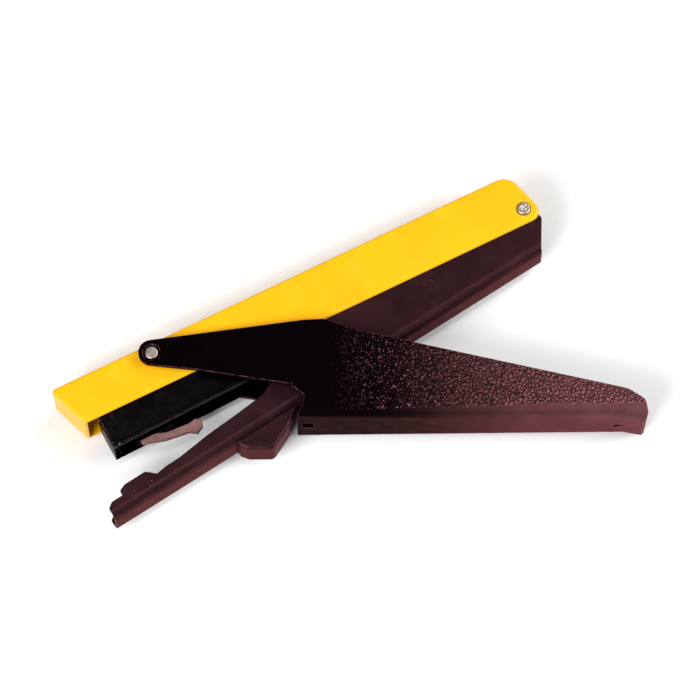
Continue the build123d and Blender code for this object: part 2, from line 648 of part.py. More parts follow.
roller_spot = tool_plane(arm_angle, 0, -roller_ahead, -arm_base - roller_radius - gap)
roller_pin_half = handle_inner / 2 + 1.2
with BuildPart() as handle:
    for u, half, low, bend in palm_sections(0):
        with BuildSketch(section_plane(palm_slope, u)):
            outline([(-half, low), (half, low), (half, -flat_base), (-half, -flat_base)], [bend, bend, 0, 0])
    loft(ruled=True)
    with BuildSketch(tool_plane(0, -handle_outer / 2)):
        side_outline()
    extrude(amount=handle_outer, mode=Mode.INTERSECT)
    add(trough.part, mode=Mode.SUBTRACT)
    for side in (1, -1):
        with BuildSketch(tool_plane(0, side * handle_inner / 2)):
            side_outline()
            with Locations((-pin_ahead, pin_height)):
                Circle(boss_radius)
            with Locations(Location(palm_point(0, -flat_base), palm_slope)):
                Rectangle(400, 40, align=(Align.CENTER, Align.MAX), mode=Mode.SUBTRACT)
        extrude(amount=side * handle_wall)
    # recess round each head of the front pin, its bore, and blind holes for the roller's pin
    for side in (1, -1):
        with BuildSketch(tool_plane(0, side * handle_outer / 2, -pin_ahead, pin_height)):
            Circle(pin_head_radius + 1)
        extrude(amount=-side * boss_recess, mode=Mode.SUBTRACT)
    with BuildSketch(tool_plane(0, 0, -pin_ahead, pin_height)):
        Circle(pin_radius + fit)
    extrude(amount=handle_outer, both=True, mode=Mode.SUBTRACT)
    with BuildSketch(roller_spot):
        Circle(roller_pin_radius + rivet_fit)
    extrude(amount=roller_pin_half, both=True, mode=Mode.SUBTRACT)
    # squarish slot near the front of the palm web, and the lanyard hole near its rear
    with BuildSketch(upright_plane(palm_slope, -palm_base)):
        with Locations((slot_in_palm, 0)):
            RectangleRounded(4.6, 5.5, 0.8)
        with Locations((hole_in_palm, 0)):
            Circle(lanyard_radius)
    extrude(amount=3 * handle_wall, both=True, mode=Mode.SUBTRACT)
save(handle, "handle")

with BuildPart() as roller_pin:
    with BuildSketch(roller_spot):
        Circle(roller_pin_radius)
    extrude(amount=roller_pin_half - thin_gap, both=True)
save(roller_pin, "roller_pin")

with BuildPart() as handle_roller:
    with BuildSketch(roller_spot):
        Circle(roller_radius)
        Circle(roller_pin_radius + fit, mode=Mode.SUBTRACT)
    extrude(amount=arm_inner / 2, both=True)
    rims = handle_roller.edges().filter_by(GeomType.CIRCLE)
    chamfer(rims.filter_by(lambda edge: edge.radius > roller_pin_radius + 1), 0.4)
save(handle_roller, "handle_roller")
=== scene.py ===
"""Stapling plier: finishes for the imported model, the pieces that repeat, and a plain studio."""
import json
import logging
import math
from dataclasses import dataclass
from enum import Enum
from typing import Any, Sequence, Union

import bpy
from mathutils import Matrix, Vector


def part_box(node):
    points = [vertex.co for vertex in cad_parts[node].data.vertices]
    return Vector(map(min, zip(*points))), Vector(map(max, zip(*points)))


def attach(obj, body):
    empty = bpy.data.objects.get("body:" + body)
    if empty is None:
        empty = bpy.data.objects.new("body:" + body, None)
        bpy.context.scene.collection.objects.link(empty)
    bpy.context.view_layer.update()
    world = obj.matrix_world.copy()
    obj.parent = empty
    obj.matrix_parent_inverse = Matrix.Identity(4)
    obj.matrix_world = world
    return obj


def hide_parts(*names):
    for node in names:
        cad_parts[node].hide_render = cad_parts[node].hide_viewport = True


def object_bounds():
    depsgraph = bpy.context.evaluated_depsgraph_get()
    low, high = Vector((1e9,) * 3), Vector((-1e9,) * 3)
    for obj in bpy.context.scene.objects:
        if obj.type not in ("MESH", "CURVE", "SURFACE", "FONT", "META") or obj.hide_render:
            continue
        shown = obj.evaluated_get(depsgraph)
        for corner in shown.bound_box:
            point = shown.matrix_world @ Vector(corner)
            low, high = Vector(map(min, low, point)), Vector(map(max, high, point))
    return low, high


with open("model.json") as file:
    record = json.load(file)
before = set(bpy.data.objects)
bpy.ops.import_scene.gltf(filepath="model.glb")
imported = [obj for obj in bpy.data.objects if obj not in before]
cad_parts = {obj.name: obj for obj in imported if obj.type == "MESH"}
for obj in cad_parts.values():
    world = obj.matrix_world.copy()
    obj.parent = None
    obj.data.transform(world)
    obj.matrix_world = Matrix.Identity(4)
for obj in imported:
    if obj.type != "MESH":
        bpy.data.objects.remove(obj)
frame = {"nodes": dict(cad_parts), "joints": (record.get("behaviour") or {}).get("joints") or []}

log = logging.getLogger("stapling_plier")
CAD_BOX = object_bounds()
Colour = tuple[float, float, float]
Feed = Union[float, Sequence[float], bpy.types.NodeSocket]
MM = 0.001


# ---------------------------------------------------------------- node helpers
class Graph:
    """Adds nodes to one node tree and joins them."""

    def __init__(self, tree: bpy.types.NodeTree) -> None:
        """Keep the tree that is built.

        Args:
            tree: an empty shader or geometry node tree.
        """
        self.tree = tree

    def feed(self, socket: bpy.types.NodeSocket, value: Feed) -> None:
        """Link a socket into an input, or set the input's own value.

        Args:
            socket: the input.
            value: a socket to link from, or a plain value.
        """
        if isinstance(value, bpy.types.NodeSocket):
            self.tree.links.new(value, socket)
        else:
            socket.default_value = value

    def add(self, kind: str, settings: dict[str, Any] | None = None,
            inputs: dict[Any, Feed] | None = None) -> bpy.types.Node:
        """Add one node.

        Args:
            kind: Blender's type name of the node.
            settings: the node's own properties.
            inputs: its inputs, by name or index, each a value or a socket to link from.

        Returns:
            The new node.
        """
        node = self.tree.nodes.new(kind)
        for name, value in (settings or {}).items():
            setattr(node, name, value)
        for name, value in (inputs or {}).items():
            self.feed(node.inputs[name], value)
        return node

    def math(self, operation: str, a: Feed, b: Feed = 0.0) -> bpy.types.NodeSocket:
        """Give the result of a math node on one or two values."""
        return self.add("ShaderNodeMath", {"operation": operation}, {0: a, 1: b}).outputs[0]

    def vector(self, operation: str, a: Feed, b: Feed = (0.0, 0.0, 0.0)) -> bpy.types.NodeSocket:
        """Give the vector result of a vector math node."""
        return self.add("ShaderNodeVectorMath", {"operation": operation}, {0: a, 1: b}).outputs["Vector"]


class Surface(Graph):
    """A material's node tree, with the patterns that the finishes share."""

    def __init__(self, name: str) -> None:
        """Make an empty material.

        Args:
            name: the material's name.
        """
        self.material = bpy.data.materials.new(name)
        self.material.use_nodes = True
        super().__init__(self.material.node_tree)
        self.tree.nodes.clear()
        self.place = self.add("ShaderNodeTexCoord").outputs["Object"]

    def noise(self, scale: float, detail: float = 3.0, roughness: float = 0.5,
              where: Feed | None = None) -> bpy.types.NodeSocket:
        """Give noise from 0 to 1, with its scale in cycles per metre."""
        inputs = {"Scale": scale, "Detail": detail, "Roughness": roughness, "Vector": where or self.place}
        return self.add("ShaderNodeTexNoise", None, inputs).outputs["Fac"]

    def cells(self, scale: float, where: Feed) -> bpy.types.NodeSocket:
        """Give the distance to the edges of irregular cells, with their scale in cells per metre."""
        inputs = {"Scale": scale, "Randomness": 1.0, "Vector": where}
        return self.add("ShaderNodeTexVoronoi", {"feature": "DISTANCE_TO_EDGE"}, inputs).outputs["Distance"]

    def stretched(self, scale: Sequence[float], turn: float = 0.0) -> bpy.types.NodeSocket:
        """Give Object coordinates turned about Z, then scaled along each axis."""
        turned = self.add("ShaderNodeMapping", None, {"Vector": self.place, "Rotation": (0, 0, -turn)})
        return self.vector("MULTIPLY", turned.outputs[0], tuple(scale))

    def remap(self, value: Feed, low: float, high: float, to_low: float = 0.0, to_high: float = 1.0,
              smooth: bool = False) -> bpy.types.NodeSocket:
        """Map a value from one range to another and clamp it.

        Args:
            value: what is mapped.
            low, high: the range that it comes in.
            to_low, to_high: the range that it goes out in.
            smooth: whether it eases in and out.

        Returns:
            The mapped value.
        """
        kind = {"interpolation_type": "SMOOTHSTEP" if smooth else "LINEAR"}
        inputs = {"Value": value, "From Min": low, "From Max": high, "To Min": to_low, "To Max": to_high}
        return self.add("ShaderNodeMapRange", kind, inputs).outputs["Result"]

    def mix(self, amount: Feed, a: Feed, b: Feed) -> bpy.types.NodeSocket:
        """Mix two colours.

        Args:
            amount: 0 for a, 1 for b.
            a, b: the colours, each as numbers or a socket.

        Returns:
            The mixed colour.
        """
        first = a if isinstance(a, bpy.types.NodeSocket) else (*a, 1.0)
        second = b if isinstance(b, bpy.types.NodeSocket) else (*b, 1.0)
        node = self.add("ShaderNodeMix", {"data_type": "RGBA"}, {0: amount, 6: first, 7: second})
        return node.outputs[2]

    def eased(self, radius: float) -> tuple[bpy.types.NodeSocket, bpy.types.NodeSocket]:
        """Normal rounded over edges, and how near a sharp edge is.

        Args:
            radius: the rounding's radius in metres.

        Returns:
            The normal, and a mask from 0 on flat stretches to 1 on edges.
        """
        normal = self.add("ShaderNodeBevel", {"samples": 6}, {"Radius": radius}).outputs[0]
        plain = self.add("ShaderNodeNewGeometry").outputs["Normal"]
        dot = self.add("ShaderNodeVectorMath", {"operation": "DOT_PRODUCT"}, {0: normal, 1: plain})
        return normal, self.remap(dot.outputs["Value"], 0.995, 0.86)

    def bump(self, height: Feed, depth: float, normal: bpy.types.NodeSocket) -> bpy.types.NodeSocket:
        """Give the normal with relief, its depth in metres."""
        inputs = {"Height": height, "Distance": depth, "Strength": 1.0, "Normal": normal}
        return self.add("ShaderNodeBump", None, inputs).outputs[0]

    def ring(self, centre: Vector, radius: float, width: float) -> bpy.types.NodeSocket:
        """Give the mask of a ring about an upright line, fading over its width.

        Args:
            centre: a point on the line.
            radius: the ring's radius in metres.
            width: how far the ring reaches to each side of its radius, in metres.

        Returns:
            The mask, 1 on the ring.
        """
        offset = self.vector("SUBTRACT", self.place, tuple(centre))
        flat = self.vector("MULTIPLY", offset, (1.0, 1.0, 0.0))
        reach = self.add("ShaderNodeVectorMath", {"operation": "LENGTH"}, {0: flat}).outputs["Value"]
        away = self.math("ABSOLUTE", self.math("SUBTRACT", reach, radius))
        return self.remap(away, width, width / 3, smooth=True)

    def close(self, inputs: dict[str, Feed]) -> bpy.types.Material:
        """Join a Principled shader to the output.

        Args:
            inputs: the shader's inputs, by name.

        Returns:
            The finished material.
        """
        fed = {name: (*value, 1.0) if isinstance(value, tuple) and len(value) == 3 else value
               for name, value in inputs.items()}
        shader = self.add("ShaderNodeBsdfPrincipled", None, fed)
        self.add("ShaderNodeOutputMaterial", None, {"Surface": shader.outputs[0]})
        return self.material


# ---------------------------------------------------------------- finishes
class Sheen(Enum):
    """How glossy a coat is, as its roughness."""

    GLOSS = 0.2
    SATIN = 0.34
    DULL = 0.46


@dataclass(frozen=True)
class Enamel:
    """Sprayed enamel: orange peel, uneven film, worn edges and scratches.

    The metallic share gives the dark paints a reflection with their own cast at a slant.
    """

    name: str
    colour: Colour
    thick: Colour
    wear_and_painted_light: Colour
    tint: Colour
    sheen: Sheen
    specular: float = 0.5
    metallic: float = 0.0
    peel_scale: float = 650.0
    peel_depth: float = 0.012 * MM
    film_scale: float = 38.0
    rub_scale: float = 900.0
    scratch_scale: float = 30.0
    scratch_stretch: Colour = (9.0, 1.0, 1.0)
    scratch_turn: float = 0.6
    scratch_strength: float = 0.35
    scratch_roughness: float = 0.2
    smear_scale: float = 120.0
    ring_strength: float = 0.85
    edge: float = 0.25 * MM
    ring_colour: Colour = (0.05, 0.02, 0.01)

    def build(self, rings: Sequence[tuple[Vector, float, float]] = ()) -> bpy.types.Material:
        """Make the material.

        Args:
            rings: centre, radius and width of each darker line round a pivot.

        Returns:
            The material.
        """
        s = Surface(self.name)
        normal, edges = s.eased(self.edge)
        film = s.remap(s.noise(self.film_scale, 4.0, 0.6), 0.35, 0.7, smooth=True)
        colour = s.mix(film, self.colour, self.thick)
        rub = s.math("MULTIPLY", edges, s.remap(s.noise(self.rub_scale, 4.0, 0.7), 0.42, 0.62))
        colour = s.mix(rub, colour, self.wear_and_painted_light)
        scratches = s.cells(self.scratch_scale, s.stretched(self.scratch_stretch, self.scratch_turn))
        marks = s.math("MULTIPLY", s.remap(scratches, 0.012, 0.0), s.remap(s.noise(60.0), 0.55, 0.7))
        colour = s.mix(s.math("MULTIPLY", marks, self.scratch_strength), colour, self.wear_and_painted_light)
        # a darker line round the edge of each given pivot's head
        for centre, radius, width in rings:
            dark_ring = s.math("MULTIPLY", s.ring(centre, radius, width), self.ring_strength)
            colour = s.mix(dark_ring, colour, self.ring_colour)
        peel = s.noise(self.peel_scale, 2.0, 0.45)
        relief = s.bump(peel, self.peel_depth, normal)
        low, high = self.sheen.value - 0.05, self.sheen.value + 0.09
        smear = s.remap(s.noise(self.smear_scale, 5.0, 0.6), 0.3, 0.75, low, high)
        rough = s.math("ADD", smear, s.math("MULTIPLY", marks, self.scratch_roughness))
        return s.close({"Base Color": colour, "Roughness": rough, "Metallic": self.metallic,
                        "Specular IOR Level": self.specular, "Specular Tint": self.tint, "Normal": relief})


@dataclass(frozen=True)
class Crinkle:
    """Crinkled enamel with a grain like leather, which fades out towards one end and on the bends.

    The metallic share gives the dark paint a reflection with its own cast at a slant. Its colour is painted
    lighter towards the rear end as painted light, with painted highlights on the grain's tops, painted glints
    and painted shade in the grain's creases.
    """

    name: str
    dark_colour: Colour
    painted_light_colour: Colour
    tint: Colour
    sheen: Sheen
    specular: float = 0.07
    metallic: float = 0.7
    grain_scale: float = 620.0
    grain_depth: float = 0.42 * MM
    grain_fade: float = 0.03
    fine_scale: float = 2600.0
    wobble_scale: float = 500.0
    wobble: float = 0.9 * MM
    painted_light_delay: float = 0.02
    painted_light_noise_scale: float = 45.0
    grain_highlight_strength: float = 0.45
    grain_highlight_lift: float = 1.9
    crease_shade_strength: float = 0.75
    fleck_scale: float = 1500.0
    fleck_strength: float = 0.5
    fleck_lift: float = 3.2
    rim_scale: float = 700.0
    rim_lift: float = 3.5
    smear_scale: float = 160.0
    edge: float = 0.35 * MM

    def lifted(self, times: float) -> Colour:
        """Give the painted light colour, made lighter a number of times."""
        return tuple(part * times for part in self.painted_light_colour)

    def build(self, along: Vector, start: float, end: float) -> bpy.types.Material:
        """Make the material.

        Args:
            along: direction in which the grain comes in and the colour is painted lighter as painted light.
            start: place along it where the grain begins.
            end: place along it where the painted light is at its brightest.

        Returns:
            The material.
        """
        s = Surface(self.name)
        normal, edges = s.eased(self.edge)
        travel = s.add("ShaderNodeVectorMath", {"operation": "DOT_PRODUCT"}, {0: s.place, 1: tuple(along)})
        travel = travel.outputs["Value"]
        grown = s.remap(travel, start, start + self.grain_fade, smooth=True)
        # painted light: a ramp from dark at the front end to lighter at the rear end, where more light falls
        painted_light_ramp = s.remap(travel, start + self.painted_light_delay, end, smooth=True)
        facing = s.add("ShaderNodeNewGeometry").outputs["Normal"]
        upright = s.add("ShaderNodeSeparateXYZ", None, {0: facing}).outputs["Z"]
        side = s.remap(s.math("ABSOLUTE", upright), 0.93, 0.99, smooth=True)
        wobble = s.noise(self.wobble_scale, 2.0)
        shift = s.add("ShaderNodeCombineXYZ", None, {0: wobble, 1: wobble}).outputs[0]
        bent = s.vector("ADD", s.place, s.vector("MULTIPLY", shift, (self.wobble, self.wobble, 0.0)))
        pebbles = s.remap(s.cells(self.grain_scale, bent), 0.0, 0.28, smooth=True)
        fine = s.noise(self.fine_scale, 3.0, 0.6)
        grain = s.math("ADD", s.math("MULTIPLY", pebbles, 0.8), s.math("MULTIPLY", fine, 0.25))
        grain = s.math("MULTIPLY", grain, s.math("MULTIPLY", grown, side))
        relief = s.bump(grain, self.grain_depth, normal)
        # painted light: mixes the dark colour towards the painted light colour along the ramp, patchy with
        # noise
        wear_and_painted_light = s.math("MULTIPLY", painted_light_ramp, s.remap(s.noise(self.painted_light_noise_scale, 4.0, 0.6), 0.2, 0.8, 0.55, 1.0))
        colour = s.mix(wear_and_painted_light, self.dark_colour, self.painted_light_colour)
        # painted highlights on the tops of the grain, growing with the painted light towards the rear
        painted_grain_highlights = s.math("MULTIPLY", s.math("MULTIPLY", pebbles, painted_light_ramp), side)
        colour = s.mix(s.math("MULTIPLY", painted_grain_highlights, self.grain_highlight_strength), colour, self.lifted(self.grain_highlight_lift))
        # painted shade in the creases of the grain
        painted_crease_shade = s.math("MULTIPLY", s.math("MULTIPLY", s.remap(pebbles, 0.45, 0.0), grown), side)
        colour = s.mix(s.math("MULTIPLY", painted_crease_shade, self.crease_shade_strength), colour, self.dark_colour)
        # painted glints: small bright specks over the grain
        painted_glints = s.math("MULTIPLY", s.remap(s.noise(self.fleck_scale, 2.0, 0.5), 0.6, 0.7), grown)
        painted_glints = s.math("MULTIPLY", s.math("MULTIPLY", painted_glints, side), self.fleck_strength)
        colour = s.mix(painted_glints, colour, self.lifted(self.fleck_lift))
        rims = s.math("MULTIPLY", edges, s.remap(s.noise(self.rim_scale, 4.0), 0.42, 0.6, 0.0, 0.7))
        colour = s.mix(rims, colour, self.lifted(self.rim_lift))
        low, high = self.sheen.value - 0.04, self.sheen.value + 0.1
        rough = s.remap(s.noise(self.smear_scale, 4.0), 0.3, 0.7, low, high)
        return s.close({"Base Color": colour, "Roughness": rough, "Metallic": self.metallic,
                        "Specular IOR Level": self.specular, "Specular Tint": self.tint, "Normal": relief})


@dataclass(frozen=True)
class Metal:
    """Bare or plated steel: drawn lines along one direction, smudges, and bright edges."""

    name: str
    colour: Colour
    dull: Colour
    roughness: float
    line_stretch: Colour = (220.0, 6500.0, 6500.0)
    line_depth: float = 0.006 * MM
    smudge_scale: float = 260.0
    patch_scale: float = 420.0
    edge_strength: float = 0.6
    edge_lift: float = 1.25
    edge: float = 0.15 * MM
    metallic: float = 1.0

    def build(self, turn: float = 0.0) -> bpy.types.Material:
        """Make the material.

        Args:
            turn: direction of the drawn lines, in radians about Z.

        Returns:
            The material.
        """
        s = Surface(self.name)
        normal, edges = s.eased(self.edge)
        lines = s.noise(1.0, 3.0, 0.6, s.stretched(self.line_stretch, turn))
        smudge = s.remap(s.noise(self.smudge_scale, 5.0, 0.65), 0.36, 0.68, smooth=True)
        colour = s.mix(smudge, self.colour, self.dull)
        bright = tuple(min(1.0, part * self.edge_lift) for part in self.colour)
        colour = s.mix(s.math("MULTIPLY", edges, self.edge_strength), colour, bright)
        low, high = self.roughness - 0.06, self.roughness + 0.12
        rough = s.remap(s.noise(self.patch_scale, 4.0), 0.3, 0.7, low, high)
        return s.close({"Base Color": colour, "Metallic": self.metallic, "Roughness": rough,
                        "Normal": s.bump(lines, self.line_depth, normal)})


WARM = (0.62, 0.34, 0.36)       # cast of the dark paints where they catch light at a slant
YELLOW = Enamel("yellow_enamel", (0.95, 0.485, 0.004), (0.93, 0.44, 0.003), (0.99, 0.70, 0.12),
                (1.0, 0.95, 0.85), Sheen.SATIN, specular=0.35)
GLOSS_BLACK = Enamel("gloss_black_enamel", (0.042, 0.035, 0.045), (0.052, 0.040, 0.048),
                     (0.30, 0.22, 0.23), (0.14, 0.10, 0.12), Sheen.GLOSS, specular=0.06, metallic=1.0,
                     ring_colour=(0.002, 0.001, 0.001))
SATIN_BLACK = Enamel("satin_black_enamel", (0.043, 0.015, 0.019), (0.058, 0.021, 0.024),
                     (0.30, 0.16, 0.17), WARM, Sheen.SATIN, specular=0.06, metallic=0.7,
                     ring_colour=(0.002, 0.001, 0.001))
# crinkle colours: near black at the front end, and the painted light colour towards the rear end
CRINKLE_BLACK = Crinkle("crinkle_black_enamel", (0.0022, 0.0010, 0.0014), (0.185, 0.068, 0.075),
                        WARM, Sheen.DULL)
PLATED = Metal("warm_plated_steel", (0.86, 0.76, 0.64), (0.66, 0.54, 0.44), 0.34)
GROUND = Metal("ground_steel", (0.56, 0.55, 0.54), (0.36, 0.34, 0.33), 0.28)
SPRING = Metal("oiled_spring_steel", (0.34, 0.32, 0.32), (0.16, 0.14, 0.14), 0.26)
# plated steel made darker than its own colour as painted shade, for the latch in shade between the magazine
# and the arm
LATCH = Metal("plated_steel_painted_shade", (0.26, 0.125, 0.115), (0.17, 0.08, 0.075), 0.5, metallic=0.3)
WIRE = Metal("bright_galvanised_wire", (0.80, 0.80, 0.80), (0.60, 0.60, 0.61), 0.22)


def dress(material: bpy.types.Material, *nodes: str) -> None:
    """Give CAD nodes a material, in each of their slots.

    Args:
        material: the finish.
        nodes: names of the CAD nodes that get it.
    """
    for name in nodes:
        node = frame["nodes"][name]
        if not node.material_slots:
            node.data.materials.append(material)
        for held in node.material_slots:
            held.material = material
        log.info("dressed %s in %s", name, material.name)


def joint(name: str) -> dict[str, Any]:
    """Give the record's entry for a joint."""
    return next(entry for entry in frame["joints"] if entry["name"] == name)


def middle(node: str) -> Vector:
    """Give the middle of a CAD node's box."""
    low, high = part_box(node)
    return (low + high) / 2


# ---------------------------------------------------------------- geometry node trees
class Recipe(Graph):
    """A Geometry Nodes tree that is run once, with named inputs, into a plain mesh."""

    def __init__(self, name: str, inputs: dict[str, tuple[str, Any]]) -> None:
        """Make the tree with its interface.

        Args:
            name: the tree's name.
            inputs: for each input, the kind of its socket and its value.
        """
        super().__init__(bpy.data.node_groups.new(name, "GeometryNodeTree"))
        self.values: dict[str, Any] = {}
        for label, (kind, value) in inputs.items():
            socket = self.tree.interface.new_socket(name=label, in_out="INPUT",
                                                    socket_type=f"NodeSocket{kind}")
            self.values[socket.identifier] = value
        self.tree.interface.new_socket(name="Mesh", in_out="OUTPUT", socket_type="NodeSocketGeometry")
        self.inlet = self.add("NodeGroupInput").outputs

    def finish(self, geometry: bpy.types.NodeSocket, smooth: bool) -> None:
        """End the tree: realise instances, shade and set the material.

        Args:
            geometry: what the tree has made.
            smooth: whether its faces are shaded smooth.
        """
        real = self.add("GeometryNodeRealizeInstances", None, {0: geometry}).outputs[0]
        shaded = self.add("GeometryNodeSetShadeSmooth", None, {0: real, "Shade Smooth": smooth}).outputs[0]
        dressed = self.add("GeometryNodeSetMaterial", None,
                           {"Geometry": shaded, "Material": self.inlet["Material"]}).outputs[0]
        self.add("NodeGroupOutput", None, {0: dressed})

    def run(self, name: str, place: Matrix) -> bpy.types.Object:
        """Evaluate the tree into a plain mesh object at the origin.

        Args:
            name: name of the new piece.
            place: where the mesh goes, in the row frame.

        Returns:
            The new object, with its place in its mesh and no modifier.
        """
        maker = bpy.data.objects.new(f"{name}_maker", bpy.data.meshes.new(f"{name}_seed"))
        bpy.context.scene.collection.objects.link(maker)
        modifier = maker.modifiers.new("recipe", "NODES")
        modifier.node_group = self.tree
        for identifier, value in self.values.items():
            modifier[identifier] = value
        graph = bpy.context.evaluated_depsgraph_get()
        mesh = bpy.data.meshes.new_from_object(maker.evaluated_get(graph))
        bpy.data.objects.remove(maker)
        mesh.name = name
        mesh.transform(place)
        piece = bpy.data.objects.new(name, mesh)
        bpy.context.scene.collection.objects.link(piece)
        log.info("made %s with %d faces", name, len(mesh.polygons))
        return piece


def settle(piece: bpy.types.Object, body: str, slot: str, *replaced: str) -> None:
    """Parent a new piece to the body that it moves with, and hide the CAD nodes that it is shown instead of.

    Args:
        piece: the new piece.
        body: the body that it moves with.
        slot: its material slot in the record; not used.
        replaced: names of the CAD nodes that it is shown instead of.
    """
    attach(piece, body)
    if replaced:
        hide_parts(*replaced)


# ---------------------------------------------------------------- sub-assemblies
@dataclass
class CoverAssembly:
    """Yellow cover with the driver fixed in its nose and the lift spring under its top."""

    ring_width: float = 0.5 * MM

    def build(self) -> None:
        """Dress the cover and what is fixed in it."""
        screw_low, screw_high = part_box("rear_screw")
        head = (screw_high.x - screw_low.x) / 2
        rings = [(middle("rear_screw"), head + 0.15 * MM, self.ring_width)]
        dress(YELLOW.build(rings), "cover")
        steel = GROUND.build(math.radians(90))
        dress(steel, "driver_blade", "driver_holder")
        dress(SPRING.build(), "lift_spring", "arm_spring")


@dataclass
class PivotHardware:
    """Pins, screw, nut, sleeve and washers of the two pivots, and the rivets."""

    def build(self) -> None:
        """Dress the plated hardware."""
        dress(PLATED.build(0.5), "rear_screw", "rear_nut", "front_pivot_pin", "pivot_washers", "rear_sleeve",
              "driver_rivets", "heel_rivets", "latch_pin", "roller_pin", "pusher_rod")


